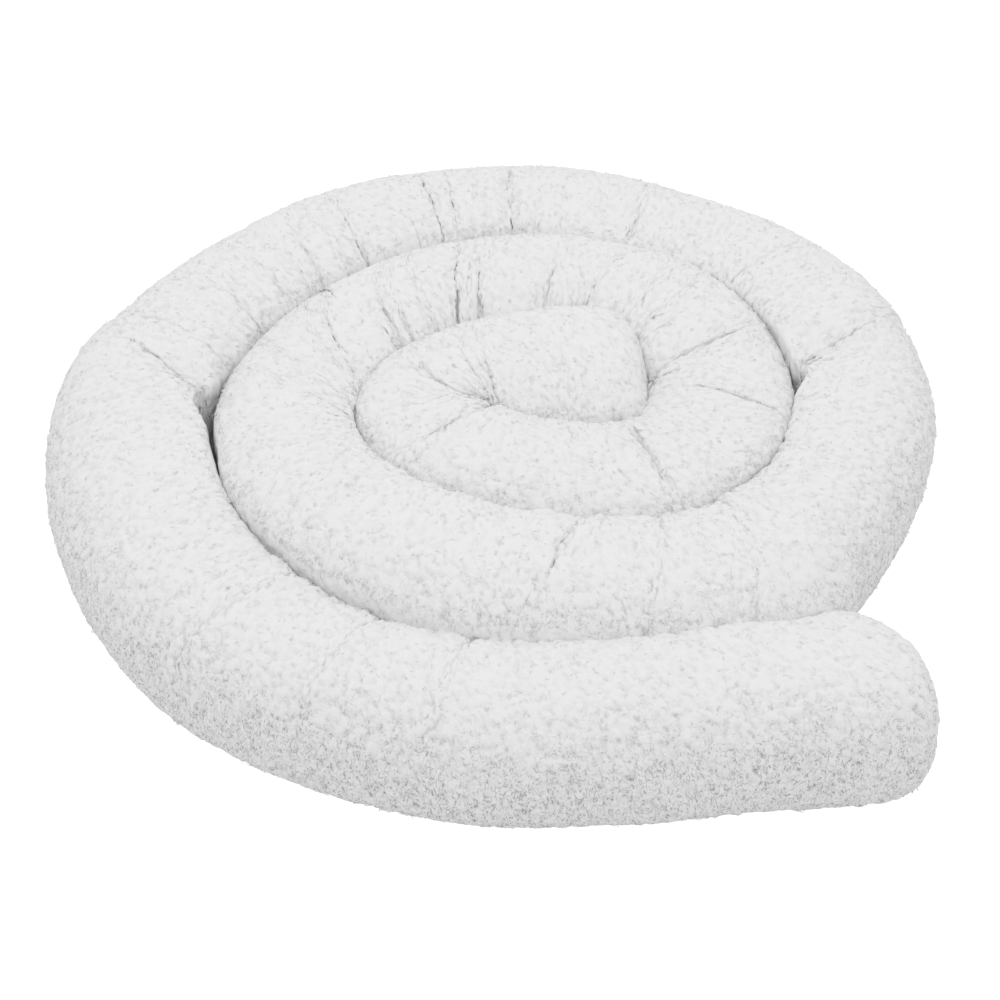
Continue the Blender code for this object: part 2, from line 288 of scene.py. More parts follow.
def side_room(side):
    """A circle that touches the line at a and passes through b has the radius |b - a|^2 / (2 n.(b - a)),
    where n is the normal at a. The least of these over all b is the room, smoothed along the line, less
    the hollows and plus the laps; the tips, which are thin, don't count. The room up to other turns
    alone is returned with it. There the tips do count, because a side leans on them too."""
    apart = line_points[None, :, :] - line_points[:, None, :]
    ahead = (apart * (side * line_outward)[:, None, :]).sum(axis=2)
    square = (apart**2).sum(axis=2)
    radius = np.where(ahead > TINY, square / (2 * np.maximum(ahead, TINY)), NO_LIMIT)
    along = np.abs(line_places[:, None] - line_places[None, :])
    radius[along < OWN_STEPS * LINE_STEP] = NO_LIMIT
    nearest = np.where(along < SAME_BEND, NO_LIMIT, radius).min(axis=1)
    radius[:, np.minimum(line_places, ROLL_LENGTH - line_places) < TIP_SHY] = NO_LIMIT
    bend = np.where(along < SAME_BEND, radius, NO_LIMIT).min(axis=1) * BEND_SHARE
    other = np.where(along < SAME_BEND, NO_LIMIT, radius).min(axis=1)
    reach = int(ROOM_REACH / LINE_STEP)
    room = running(running(np.minimum(bend, other), reach, "least"), reach, "mean")
    for place, _, half_length, depth in (hollow for hollow in HOLLOWS if hollow[1] == side):
        room -= depth * np.exp(-(((line_places - place) / half_length) ** 2))
    facing = side * line_outward[:, 1]
    lap = FAR_LAP * np.clip(-facing, 0, 1) + NEAR_LAP * np.clip(facing, 0, 1)
    lap *= ramp((line_points[:, 1] - LAP_FROM) / LAP_EASE) * (other < TURN_BESIDE)
    in_front = ramp((FRONT_BEFORE - line_points[:, 1]) / FRONT_EASE)
    in_front *= ramp((line_points[:, 0] - FRONT_RIGHT_OF) / LAP_EASE)
    lap += FRONT_LAP * in_front * (other < TURN_BESIDE)
    return room + lap, running(nearest, reach, "mean") + lap


def line_turn(half_width):
    """How much the line turns per metre, in radians, averaged over half_width entries to each side."""
    heading = np.unwrap(np.arctan2(line_outward[:, 1], line_outward[:, 0]))
    return running(np.gradient(heading, line_places), half_width, "mean")


room, neighbour = {}, {}
for side in (1, -1):
    room[side], neighbour[side] = side_room(side)
print("least room outside", round(room[1].min(), 4), "and inside", round(room[-1].min(), 4), "m")

# %% [markdown]
# ## The creases
#
# A straight tube that is bent has too much cloth on the inside of the bend. It gathers there in creases
# that run up from the inner side and fade out over the crown. Each row of the table is one crease, and
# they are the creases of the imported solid, some of them moved by up to about a centimetre. There each one
# is only a soft trough. Here the trough is shallower, and in its middle runs a narrow fold where the pile
# closes over it. A crease wanders a little, because no cloth folds along a ruler, and the cloth on both
# sides of it swells slightly.

# %% Table of creases
# place along the roll (m), lean (degrees from a square cut), start and stop round the roll (degrees: 0 is
# the coil's outer side, 90 the crown, 180 the inner side), depth, and width of the trough (m)
CREASES = np.array([
    # front stretch and left bend
    (0.281, -12, 106, 215, 0.006, 0.008), (0.348, -6, 108, 215, 0.005, 0.008),
    (0.425, 0, 112, 215, 0.005, 0.008), (0.712, -48, 78, 215, 0.014, 0.012),
    (0.745, -20, 112, 215, 0.003, 0.010),
    # outer turn: back and right
    (0.805, -10, 105, 215, 0.004, 0.010), (0.850, -14, 105, 215, 0.004, 0.010),
    (0.898, -32, 92, 215, 0.006, 0.009), (0.916, 0, 110, 215, 0.002, 0.008),
    (0.942, -18, 92, 215, 0.009, 0.009), (1.017, -6, 62, 215, 0.010, 0.008),
    (1.033, 0, 78, 150, 0.006, 0.008), (1.084, 4, 58, 215, 0.010, 0.008),
    (1.194, 14, 85, 215, 0.005, 0.009), (1.319, 8, 100, 215, 0.005, 0.009),
    (1.436, 44, 66, 215, 0.014, 0.012),
    # second turn: front, left, back and right
    (1.687, -30, 108, 215, 0.006, 0.009), (1.747, -20, 100, 215, 0.006, 0.009),
    (1.809, -22, 70, 215, 0.009, 0.010), (2.089, -38, 100, 215, 0.004, 0.010),
    (2.114, -46, 112, 215, 0.004, 0.009), (2.148, -52, 92, 215, 0.006, 0.008),
    (2.165, -56, 78, 215, 0.008, 0.009), (2.223, -46, 92, 215, 0.008, 0.009),
    (2.236, -34, 105, 215, 0.005, 0.008), (2.255, -22, 112, 215, 0.006, 0.008),
    (2.291, -28, 56, 215, 0.011, 0.008), (2.302, -26, 76, 130, 0.005, 0.007),
    (2.312, -26, 86, 215, 0.008, 0.008), (2.368, -14, 88, 215, 0.005, 0.009),
    (2.411, -19, 78, 215, 0.007, 0.009), (2.450, 24, 92, 215, 0.005, 0.009),
    (2.476, 30, 100, 215, 0.007, 0.009), (2.535, 26, 62, 215, 0.010, 0.010),
    (2.600, -20, 36, 125, 0.010, 0.010), (2.693, 0, 54, 135, 0.009, 0.010),
    # third turn: the hairpin
    (2.834, -6, 68, 215, 0.010, 0.009), (2.901, -34, 78, 215, 0.010, 0.008),
    (2.938, -20, 90, 215, 0.009, 0.008), (2.948, -4, 92, 215, 0.008, 0.008),
])
CREASE_RISE = 50.0
CREASE_FALL = 30.0
LEAN_REACH = 0.018
LEAN_REST = 0.35
END_SLANT = np.radians(12.0)
SLANT_LENGTH = 0.07
SLANT_EASE = 0.05
TROUGH_SHARE = 0.30
CREASE_SWELL = 0.16
FOLD_SHARE = 0.62
FOLD_WIDTH = 0.0009
FOLD_SHARPNESS = 1.4
FOLD_RISE = 22.0
FOLD_EASE = 0.40
FOLD_EASE_FROM = 110.0
FOLD_EASE_SPAN = 50.0
# waves by which a crease wanders and grows uneven: waves per radian, shift per crease, and size
CREASE_WANDER = 0.0012
WANDER_WAVES = ((4.1, 2.4, 1.0), (9.3, 1.7, 0.6))
UNEVEN_WAVE = (6.7, 3.1, 0.15)
JITTER_DEGREES = np.arange(0.0, 361.0, 4.0)
JITTER_MOST = 0.0012
JITTER_SHIFT = 7
JITTER = np.random.default_rng(8).uniform(-JITTER_MOST, JITTER_MOST, len(JITTER_DEGREES))


def cloth_lean(places):
    """Slope by which the cloth leans: the slopes of the creases near it, weighted by a bell, and over the
    last centimetres the slant of the inner end."""
    weights = np.exp(-(((places[:, None] - CREASES[:, 0]) / LEAN_REACH) ** 2))
    leans = (weights * np.tan(np.radians(CREASES[:, 1]))).sum(axis=1) / (weights.sum(axis=1) + LEAN_REST)
    return leans + np.tan(END_SLANT) * ramp((places - ROLL_LENGTH + SLANT_LENGTH) / SLANT_EASE)


def crease_depth(places, degrees):
    """Depth of the creases on the grid. Across a crease it is a bell for the trough plus a narrow, sharp
    one for the fold, each with its share of the crease's depth, less a swell on each side. Round the
    roll both rise from the crease's start, the fold sooner, and fall before its stop, and the fold
    eases past the crown. Where creases meet, the deeper one counts."""
    total = np.zeros((len(places), len(degrees)))
    swell = np.zeros_like(total)
    for number, (place, _, start, stop, depth, width) in enumerate(CREASES):
        reach = ramp((degrees - start) / CREASE_RISE) * ramp((stop - degrees) / CREASE_FALL)
        along_fold = ramp((degrees - start) / FOLD_RISE) * ramp((stop - degrees) / CREASE_FALL)
        along_fold *= 1 - FOLD_EASE * ramp((degrees - FOLD_EASE_FROM) / FOLD_EASE_SPAN)
        turn = np.radians(degrees)
        wander = sum(size * np.sin(waves * turn + shift * number) for waves, shift, size in WANDER_WAVES)
        waves, shift, size = UNEVEN_WAVE
        uneven = 1 - size + size * np.sin(waves * turn + shift * number)
        jitter = np.interp(degrees, JITTER_DEGREES, np.roll(JITTER, JITTER_SHIFT * number))
        away = places[:, None] - place - CREASE_WANDER * wander - jitter
        trough = TROUGH_SHARE * depth * np.exp(-((away / width) ** 2))
        fold = FOLD_SHARE * depth * np.exp(-(np.abs(away) / FOLD_WIDTH) ** FOLD_SHARPNESS) * along_fold
        total = np.maximum(total, (trough * reach + fold) * uneven)
        swell += CREASE_SWELL * depth * reach * np.exp(-(((np.abs(away) - 2 * width) / width) ** 2))
    return total - swell


print(len(CREASES), "creases")

# %% [markdown]
# ## The smooth stuffed cover
#
# The cover is a function of two parameters: the place along the roll and the angle round it. At each
# place the section is a superellipse, a little squarer than an ellipse, because stuffing pushes a tube
# outwards evenly. Its two sides stop where their room ends, with a soft corner. Its underside is cut off
# by the floor. Both ends shrink to a point along a blunt curve. The grid is fine where the cloth shows
# and coarse underneath, and its rings stand closer in the bends and at the ends.

# %% Cover as a function of place and angle
END_LENGTH = 0.043
END_ROUNDNESS = 3.2
FREE_ROUNDNESS = 2.25
PRESSED_ROUNDNESS = 2.8
LEANING_GAP = 0.012
PRESS_HARDNESS = 25.0
INNER_SWELL = 0.005
PRESS_REACH = 0.08
SPREAD_MOST = 0.016
PRESS_FROM = 0.86
OUTLINE_GRID = (600, 73)


def end_share(places):
    """0 at both tips and 1 along the roll, rising as a quarter of a superellipse over END_LENGTH."""
    share = np.clip(np.minimum(places, ROLL_LENGTH - places) / END_LENGTH, 0, 1)
    return (1 - (1 - share) ** END_ROUNDNESS) ** (1 / END_ROUNDNESS)


def section(degrees, roundness):
    """Sideways and upwards share of a superellipse: cosine and sine, each raised to 2 / roundness."""
    cosine, sine = np.cos(np.radians(degrees)), np.sin(np.radians(degrees))
    power = 2 / roundness
    return np.sign(cosine) * np.abs(cosine) ** power, np.sign(sine) * np.abs(sine) ** power


def spread(gap):
    """How far a side swells across a gap to the turn beside it: all the way, unless the gap is wide."""
    return np.clip(gap, 0, None) * (1 - ramp((gap - SPREAD_MOST) / SPREAD_MOST))


def either_side(degrees, places, values):
    """Values kept along the line for each side, read at the places, for the side that each angle is on."""
    outer, inner = (np.interp(places, line_places, values[side]) for side in (1, -1))
    return np.where(np.cos(np.radians(degrees)) > 0, outer, inner)


def cover(places, degrees):
    """Points of the cover on a grid, and how hard each presses on its neighbour, from 0 to 1. The side
    reach is the bulge times the section's sideways share, softly capped at the room: x / (1 + (x /
    room)^h)^(1/h) with the hardness h. The height is half the crown's height times one plus the upwards
    share, less the sink and never under the floor. A side that leans on another turn has a squarer
    section. Creases shrink the section towards its middle. Where the cloth leans, a point moves along
    the line, and past the inner end it goes straight on."""
    even = places[:, None]
    gap = {side: neighbour[side] - line_bulge for side in (1, -1)}
    reach = {side: line_bulge + spread(gap[side]) for side in (1, -1)}
    leaning = ramp(1 - either_side(degrees, even, gap) / LEANING_GAP)
    sideways, upwards = section(degrees, FREE_ROUNDNESS + (PRESSED_ROUNDNESS - FREE_ROUNDNESS) * leaning)
    half_height = (np.interp(even, line_places, line_crown) + UNDERSIDE_SINK) / 2
    pinch = end_share(even) * (1 - crease_depth(places, degrees) / half_height)
    free = either_side(degrees, even, reach) + INNER_SWELL * ramp(-sideways)
    loose = free * (1 + PRESS_REACH * leaning) * pinch * sideways
    shifted = even - cloth_lean(places)[:, None] * loose
    limit = either_side(degrees, shifted, room)
    pressed = loose / (1 + (np.abs(loose) / limit) ** PRESS_HARDNESS) ** (1 / PRESS_HARDNESS)
    past = np.clip(shifted - ROLL_LENGTH, 0, None)
    ahead = (line_outward[-1, 1], -line_outward[-1, 0])
    flat = [
        np.interp(shifted, line_places, line_points[:, i]) + past * ahead[i]
        + pressed * np.interp(shifted, line_places, line_outward[:, i])
        for i in (0, 1)
    ]
    height = half_height * (1 + pinch * upwards) - UNDERSIDE_SINK
    pressing = ramp((np.abs(loose) / limit - PRESS_FROM) / (1 - PRESS_FROM))
    return np.stack([*flat, np.maximum(height, 0.0)], axis=2), pressing


def outline_middle():
    """The middle of the cover's outline seen from above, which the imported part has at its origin."""
    rings, steps = OUTLINE_GRID
    rough = cover(np.linspace(0, ROLL_LENGTH, rings), np.linspace(0, 360, steps))[0][..., :2].reshape(-1, 2)
    return (rough.min(axis=0) + rough.max(axis=0)) / 2


OFFSET = np.array([*((np.array(roll_low) + np.array(roll_high))[:2] / 2 - outline_middle()), roll_low.z])
print("the line moves by", OFFSET.round(4), "m to lie in the packed part's frame")

# %% Grid of places and angles
FINE_STEP = 0.0019
COARSE_SHARE = 0.25
CREASE_RINGS = 2.2
CREASE_SPAN = 0.0045
END_SAMPLES = 600
SAMPLE_STEP = 0.001
GIRTH_SAMPLES = 1441
STRETCH_WEIGHT = 0.6
SLOPE_MOST = 30.0
UNDERSIDE = (236.0, 304.0)


def even_along(values, density, step):
    """Values spaced so that each step holds the same amount of density: its running total is inverted."""
    total = np.concatenate([[0.0], np.cumsum((density[1:] + density[:-1]) / 2 * np.diff(values))])
    count = int(np.ceil(total[-1] / step)) + 1
    return np.interp(np.linspace(0, total[-1], count), total, values)


def grid_places():
    """Rings closer at the creases, where the outer side of a bend stretches them, and in the ends, where
    they lie flat."""
    tip = np.linspace(0, END_LENGTH, END_SAMPLES)
    dense = np.concatenate([tip, np.arange(END_LENGTH, ROLL_LENGTH / 2, SAMPLE_STEP)[1:]])
    dense = np.unique(np.concatenate([dense, ROLL_LENGTH - dense]))
    stretch = 1 + np.interp(dense, line_places, np.abs(line_turn(4)) * line_bulge) * STRETCH_WEIGHT
    slope = np.gradient(end_share(dense), dense) * ROLL_HEIGHT / 2
    crease = np.exp(-(((dense[:, None] - CREASES[:, 0]) / CREASE_SPAN) ** 4)).max(axis=1)
    length = np.hypot(stretch, np.clip(slope, -SLOPE_MOST, SLOPE_MOST))
    return even_along(dense, length * (1 + CREASE_RINGS * crease), FINE_STEP)


def grid_degrees():
    """Angles at even steps of girth, with wider steps on the underside, starting and ending there."""
    dense = np.linspace(-90, 270, GIRTH_SAMPLES)
    sideways, upwards = section(dense, FREE_ROUNDNESS)
    across, up = sideways * np.median(line_bulge), upwards * ROLL_HEIGHT / 2
    speed = np.hypot(np.gradient(across, dense), np.gradient(up, dense))
    under = (dense % 360 > UNDERSIDE[0]) & (dense % 360 < UNDERSIDE[1])
    return even_along(dense, speed * np.where(under, COARSE_SHARE, 1.0), FINE_STEP)


places, degrees = grid_places(), grid_degrees()
smooth, press = cover(places, degrees)
smooth += OFFSET
print(len(places), "rings of", len(degrees) - 1, "steps:", (len(places) - 1) * (len(degrees) - 1), "faces")

# %% [markdown]
# ## Stuffing and small gathers
#
# Loose stuffing is never quite even, so the cover gets shallow lumps, a few centimetres wide, from smooth
# noise. On the inside of each bend the spare cloth also lies in small gathers between the deep creases.
# They are noise too, long round the roll and short along it, and a fold runs where it crosses zero.

# %% Noise
NOISE_FACTORS = np.array([73856093, 19349663, 83492791], np.uint32)
SALT_FACTOR = 2654435761
MIXES = ((15, 2246822519), (13, 3266489917))
LAST_SHIFT = 16
FAR_POINT = 9.0


def scatter(cells, salt):
    """A repeatable number from 0 to 1 for each cell: its three whole numbers times large primes are
    joined by exclusive or, then mixed twice by a shift and a product."""
    parts = cells.astype(np.int64).astype(np.uint32) * NOISE_FACTORS
    mixed = parts[..., 0] ^ parts[..., 1] ^ parts[..., 2] ^ np.uint32(salt * SALT_FACTOR % 2**32)
    for shift, factor in MIXES:
        mixed = (mixed ^ (mixed >> np.uint32(shift))) * np.uint32(factor)
    return (mixed ^ (mixed >> np.uint32(LAST_SHIFT))).astype(float) / 2**32


def smooth_noise(spots, salt):
    """Smooth noise from -1 to 1: the random numbers at the eight corners of each unit cell, mixed by the
    smooth step of the spot's place in the cell."""
    low = np.floor(spots)
    share = ramp(spots - low)
    total = np.zeros(spots.shape[:-1])
    for corner in np.ndindex(2, 2, 2):
        weight = np.prod(np.where(corner, share, 1 - share), axis=-1)
        total += weight * scatter(low + corner, salt)
    return 2 * total - 1


def cell_noise(spots, salt):
    """Distances from each spot to the nearest and second nearest of the points strewn one to a unit
    cell, and the nearest point's own random number."""
    low = np.floor(spots)
    near, second = np.full(spots.shape[:-1], FAR_POINT), np.full(spots.shape[:-1], FAR_POINT)
    chosen = np.zeros(spots.shape[:-1])
    for step in np.ndindex(3, 3, 3):
        cell = low + np.array(step) - 1
        point = cell + np.stack([scatter(cell, salt + i) for i in range(3)], axis=-1)
        away = np.linalg.norm(point - spots, axis=-1)
        closer = away < near
        second = np.where(closer, near, np.minimum(second, away))
        chosen = np.where(closer, scatter(cell, salt + 3), chosen)
        near = np.where(closer, away, near)
    return near, second, chosen


# %% Lumps of stuffing and small gathers
# size and height of the lumps (m), and the salt of their noise
LUMPS = ((0.050, 0.0012, 11), (0.110, 0.0014, 12))
TIP_RINGS = 3
GATHER_PITCH = 0.0065
GATHER_DEPTH = 0.0028
GATHER_TURN = 75.0
GATHER_WIDTH = 0.45
GATHER_SALT = 21
# where gathers come in and go out again round the roll: from and over how many degrees
GATHER_RISE = (95.0, 70.0)
GATHER_FALL = (235.0, 40.0)
GATHER_BEND = 0.45


def normals_of(grid):
    """Unit normals of a surface grid: the cross product of its two directions, pointing outwards. The
    tips have none, so they take the direction in which the roll ends."""
    normals = np.cross(np.gradient(grid, axis=1), np.gradient(grid, axis=0))
    seam = np.cross(grid[:, 1] - grid[:, -2], np.gradient(grid[:, 0], axis=0))
    normals[:, 0] = normals[:, -1] = seam
    for end, inside in ((0, 1 + TIP_RINGS), (-1, -2 - TIP_RINGS)):
        normals[end] = grid[end].mean(axis=0) - grid[inside].mean(axis=0)
    return normals / np.linalg.norm(normals, axis=2, keepdims=True)


def bend_strength(places):
    """How sharply the line bends, to either side: from 0 where it is straight to 1 at a radius of the
    roll's height."""
    return np.clip(np.abs(np.interp(places, line_places, line_turn(8))) * ROLL_HEIGHT, 0, 1)


def stuffing(grid):
    """Height of the lumps: smooth noise in two sizes."""
    return sum(depth * smooth_noise(grid / size, salt) for size, depth, salt in LUMPS)


def gathers(places, degrees):
    """Depth of the gathers: where smooth noise, long round the roll and short along it, crosses zero, a
    fold runs. They keep to the inner side, and are as deep as the bend is sharp."""
    along = np.broadcast_to(places[:, None] / GATHER_PITCH, (len(places), len(degrees)))
    around = np.broadcast_to(degrees / GATHER_TURN, along.shape)
    noise = smooth_noise(np.stack([along, around, np.zeros_like(along)], -1), GATHER_SALT)
    fold = np.clip(1 - np.abs(noise) / GATHER_WIDTH, 0, 1) ** 2
    side = ramp((degrees - GATHER_RISE[0]) / GATHER_RISE[1])
    side *= ramp((GATHER_FALL[0] - degrees) / GATHER_FALL[1])
    return GATHER_DEPTH * fold * side * ramp(bend_strength(places) / GATHER_BEND)[:, None]


relief = stuffing(smooth) * (1 - press) - gathers(places, degrees)
stuffed = smooth + normals_of(smooth) * relief[..., None]
print("lumps up to", round(float(np.abs(stuffing(smooth)).max()) * 1000, 2), "mm")

# %% [markdown]
# ## The curls of the pile
#
# Curly fleece is a knitted backing with its yarn teased up into small curls. From a step away they are
# round tufts, some seven millimetres wide, that crowd each other, with dark narrow gaps between them.
# Noise made of cells has that look: a dome over the nearest of many strewn points, cut in where the two
# nearest are equally far. The places are bent by smooth noise first, so that the tufts curl instead of
# making neat bubbles, and a second, smaller set lies on the first.

# %% Curls
PILE_INSET = 0.0016
CRUSHED = 0.35
PRESS_TAKES = 0.6
FLOOR_EASE = 0.004
# size and height of the tufts (m), and the salt of their noise
CURL_SIZES = ((0.0072, 0.0026, 31), (0.0040, 0.0010, 41))
CURL_BEND = 0.45
BEND_SCALE = 0.7
DOME_REACH = 1.05
DOME_LEAST = 0.65
GAP_SHARE = 0.16
GAP_CUT = 0.45
GAP_REACH = 0.45


def curls(grid):
    """Height of the pile over the cover and how deep each spot lies in a gap, from 0 to 1."""
    height, gaps = np.zeros(grid.shape[:2]), np.zeros(grid.shape[:2])
    for size, rise, salt in CURL_SIZES:
        spots = grid / size
        bend = np.stack([smooth_noise(spots * BEND_SCALE, salt + 5 + i) for i in range(3)], axis=-1)
        near, second, chosen = cell_noise(spots + CURL_BEND * bend, salt)
        dome = np.sqrt(np.clip(1 - (near / DOME_REACH) ** 2, 0, 1))
        gap = np.clip(1 - (second - near) / GAP_SHARE, 0, 1)
        height += rise * (dome * (DOME_LEAST + (1 - DOME_LEAST) * chosen) - GAP_CUT * gap**2)
        between = np.clip(1 - (second - near) / GAP_REACH, 0, 1)
        gaps = np.maximum(gaps, between * (rise / CURL_SIZES[0][1]) ** 0.5)
    return height, gaps


lift, gaps = curls(stuffed)
floor_share = ramp((stuffed[..., 2] - roll_low.z) / FLOOR_EASE)
lift *= 1 - CRUSHED * press
inset = PILE_INSET * (1 - PRESS_TAKES * press)
pile = stuffed + normals_of(stuffed) * ((lift - inset) * floor_share)[..., None]
pile[..., 2] = np.maximum(pile[..., 2], roll_low.z)
print("curls rise", round(float(lift.max()) * 1000, 2), "mm over the backing")

# %% [markdown]
# ## From a grid to a mesh
#
# A mesh wants a list of points and a list of faces. The points are the grid's, with the last column left
# out, because it is the first one again: that closes the seam. The first and last ring are single points,
# which close the two tips. All of it is index arithmetic on whole arrays.
#
# Two numbers go along with every point, for the material to read. One says how deep the point lies in a
# gap between tufts, where the material sets more pits of painted shade. The other says how much painted
# shade the pits get, as sides that get less light from above: more where the cover is steep and on the
# coil's outer side, and less where turns press on each other.

# %% Mesh of a closed tube
# painted shade of the sides: its share on the coil's inner side, how fast it grows towards the outer side,
# and the power of the steepness
SIDE_SHADE_INSIDE = 0.25
SIDE_SHADE_TURN = 1.5
SIDE_SHADE_POWER = 0.6


def tube_faces(rings, steps):
    """Corner numbers of the quads between neighbouring rings and steps, with the last step joined to the
    first, and of the triangles that join the outermost rings to the two tip points."""
    ring, step = np.meshgrid(np.arange(rings - 1), np.arange(steps), indexing="ij")
    after = (step + 1) % steps
    near, far = ring * steps, (ring + 1) * steps
    quads = np.stack([near + step, near + after, far + after, far + step], -1).reshape(-1, 4)
    step = np.arange(steps)
    after = (step + 1) % steps
    head = np.stack([np.full(steps, rings * steps), after, step], -1)
    last = (rings - 1) * steps
    tail = np.stack([np.full(steps, rings * steps + 1), last + step, last + after], -1)
    return quads, np.concatenate([head, tail])


def mesh_of(name, points, quads, triangles):
    """A smooth-shaded mesh from arrays of points, four-cornered faces and three-cornered faces."""
    mesh = bpy.data.meshes.new(name)
    mesh.vertices.add(len(points))
    mesh.vertices.foreach_set("co", points.astype(np.float32).ravel())
    corners = np.concatenate([quads.ravel(), triangles.ravel()]).astype(np.int32)
    mesh.loops.add(len(corners))
    mesh.loops.foreach_set("vertex_index", corners)
    sizes = np.concatenate([np.full(len(quads), 4), np.full(len(triangles), 3)])
    starts = np.concatenate([[0], np.cumsum(sizes)[:-1]]).astype(np.int32)
    mesh.polygons.add(len(sizes))
    mesh.polygons.foreach_set("loop_start", starts)
    mesh.update(calc_edges=True)
    mesh.shade_smooth()
    return mesh


def open_grid(grid):
    """A grid's values as a list of points: the repeated column goes, and each tip becomes one point."""
    return np.concatenate([grid[1:-1, :-1].reshape(-1, *grid.shape[2:]), grid[[0, -1], 0]])


quads, triangles = tube_faces(len(places) - 2, len(degrees) - 1)
mesh = mesh_of("fleece_roll", open_grid(pile), quads, triangles)
depth = mesh.attributes.new("gap", "FLOAT", "POINT")
depth.data.foreach_set("value", open_grid(gaps).astype(np.float32))
# the second number: how much shade is painted into the pits, more on steep sides and on the coil's outer
# side, less where turns press
outer = SIDE_SHADE_INSIDE + (1 - SIDE_SHADE_INSIDE) * ramp(0.5 + SIDE_SHADE_TURN * np.cos(np.radians(degrees)))
steep = np.clip(1 - normals_of(smooth)[..., 2], 0, 1) ** SIDE_SHADE_POWER
side_shade = steep * outer * (1 - PRESS_TAKES * press)
side_shade_layer = mesh.attributes.new("side_shade", "FLOAT", "POINT")
side_shade_layer.data.foreach_set("value", open_grid(side_shade).astype(np.float32))
roll = bpy.data.objects.new("fleece_roll", mesh)
bpy.context.scene.collection.objects.link(roll)
print(len(mesh.vertices), "points and", len(mesh.polygons), "faces")

# %% [markdown]
# ## Laying the cover out flat
#
# A UV map says where each corner of a face lies on a flat sheet. Cut along its underside and unrolled,
# the tube is a strip three metres long and a third of a metre wide. On a square sheet it would be a thin
# line, so it is cut into rows that lie one above the other. Every corner gets the numbers of its own ring
# and step. The step is counted up to the full number here, and not back to zero, so that no face
# stretches over the whole strip.

# %% UV map
UV_ROWS = 3
UV_MARGIN = 0.006


def lay_flat(mesh, rings, steps):
    """The UV map of the tube. Across: how far the corner's ring lies along its row. Up: the row's number
    plus the corner's share of the girth, over the number of rows. A row holds an equal count of rings,
    and every face belongs to the row of its first ring."""
    ring, step = np.meshgrid(np.arange(1, rings - 2), np.arange(steps), indexing="ij")
    corners = [np.stack([ring + i, step + j], -1) for i, j in ((0, 0), (0, 1), (1, 1), (1, 0))]
    body = np.stack(corners, -2).reshape(-1, 2)
    step = np.arange(steps)
    head = np.stack([[step * 0, step + 0.5], [step * 0 + 1, step + 1], [step * 0 + 1, step]], 0)
    tail = np.stack([[step * 0 + rings - 1, step + 0.5], [step * 0 + rings - 2, step],
                     [step * 0 + rings - 2, step + 1]], 0)
    fans = [fan.transpose(2, 0, 1).reshape(-1, 2) for fan in (head, tail)]
    spots = np.concatenate([body, *fans]).astype(float)
    first = np.concatenate([np.repeat(ring.ravel(), 4), np.zeros(3 * steps), np.full(3 * steps, rings - 2)])
    row = np.minimum(first * UV_ROWS // (rings - 1), UV_ROWS - 1)
    start = np.ceil(row * (rings - 1) / UV_ROWS)
    across = (spots[:, 0] - start) / ((rings - 1) / UV_ROWS + 1)
    up = (row + UV_MARGIN + (1 - 2 * UV_MARGIN) * spots[:, 1] / steps) / UV_ROWS
    sheet = mesh.uv_layers.new(name="OFBake")
    flat = np.column_stack([UV_MARGIN + (1 - 2 * UV_MARGIN) * across, up])
    sheet.data.foreach_set("uv", flat.astype(np.float32).ravel())
    return flat


flat = lay_flat(mesh, len(places), len(degrees) - 1)
print("the strip lies between", flat.min(axis=0).round(3), "and", flat.max(axis=0).round(3))

# %% [markdown]
# ## The fleece as a material
#
# The mesh holds the tufts, but the single loops of yarn between them are only a millimetre wide. They
# belong in the material: small pits, darkened in the base colour with painted shade, that crowd in the gaps
# between the tufts and are rare on top of them. Four noises make them. Where the one with the loops' size
# crosses its middle value, a thin line of painted shade runs, and the finest one breaks that line into pits.
# The pits show where the pile is open. A slow noise decides that, with a faint line pattern of the tufts'
# size and the two numbers that the points carry. On the roll's sides the curls hang, so the patterns are
# stretched downwards there. Where the cover is steep, more pits show and their painted shade is darker, as
# on sides that get less light from above.

# %% Node helpers
def new_group(name, inputs, outputs):
    """A shader node group with named float or vector inputs and outputs; returned with its two end nodes."""
    group = bpy.data.node_groups.new(name, "ShaderNodeTree")
    for direction, sockets in (("INPUT", inputs), ("OUTPUT", outputs)):
        for socket, kind in sockets.items():
            group.interface.new_socket(name=socket, in_out=direction, socket_type=kind)
    return group, group.nodes.new("NodeGroupInput"), group.nodes.new("NodeGroupOutput")


def node(tree, kind, settings=None, **wires):
    """A node of one kind: settings are its own properties, and each wire is a socket's name with either
    a value or another node's output. Spaces in a socket's name are written as underscores."""
    made = tree.nodes.new(kind)
    for key, value in (settings or {}).items():
        setattr(made, key, value)
    for key, value in wires.items():
        place = int(key[1:]) if key[0] == "_" else key.replace("_", " ")
        if isinstance(value, bpy.types.NodeSocket):
            tree.links.new(value, made.inputs[place])
        else:
            made.inputs[place].default_value = value
    return made


def maths(tree, how, *values):
    """The output of a Math node over one, two or three values or sockets."""
    wires = {f"_{i}": value for i, value in enumerate(values)}
    return node(tree, "ShaderNodeMath", {"operation": how}, **wires).outputs[0]


def fade(tree, value, start, stop):
    """A smooth step that turns a value into 0 at start and 1 at stop."""
    settings = {"interpolation_type": "SMOOTHSTEP"}
    made = node(tree, "ShaderNodeMapRange", settings, Value=value, From_Min=start, From_Max=stop)
    return made.outputs["Result"]


# %% Curly pile as a node group
TUFT_SIZE = 0.0070
LOOP_SIZE = 0.0030
FIBRE_SIZE = 0.0013
PARTING_SIZE = 0.012
LOOP_LINE = 0.050
TUFT_LINE = 0.08
LINE_CORE = 0.3
LOOP_BREAK = (0.40, 0.56)
# what opens the pile, so that pits of painted shade show: shares of the two numbers and of the two noises,
# and where it starts and is open
SIDE_SHADE_OPENS = 0.29
GAP_OPENS = 0.30
PARTING_OPENS = 0.55
TUFTS_OPEN = 0.05
OPEN_FADE = (0.48, 0.78)
GRAIN_RISE = 0.5


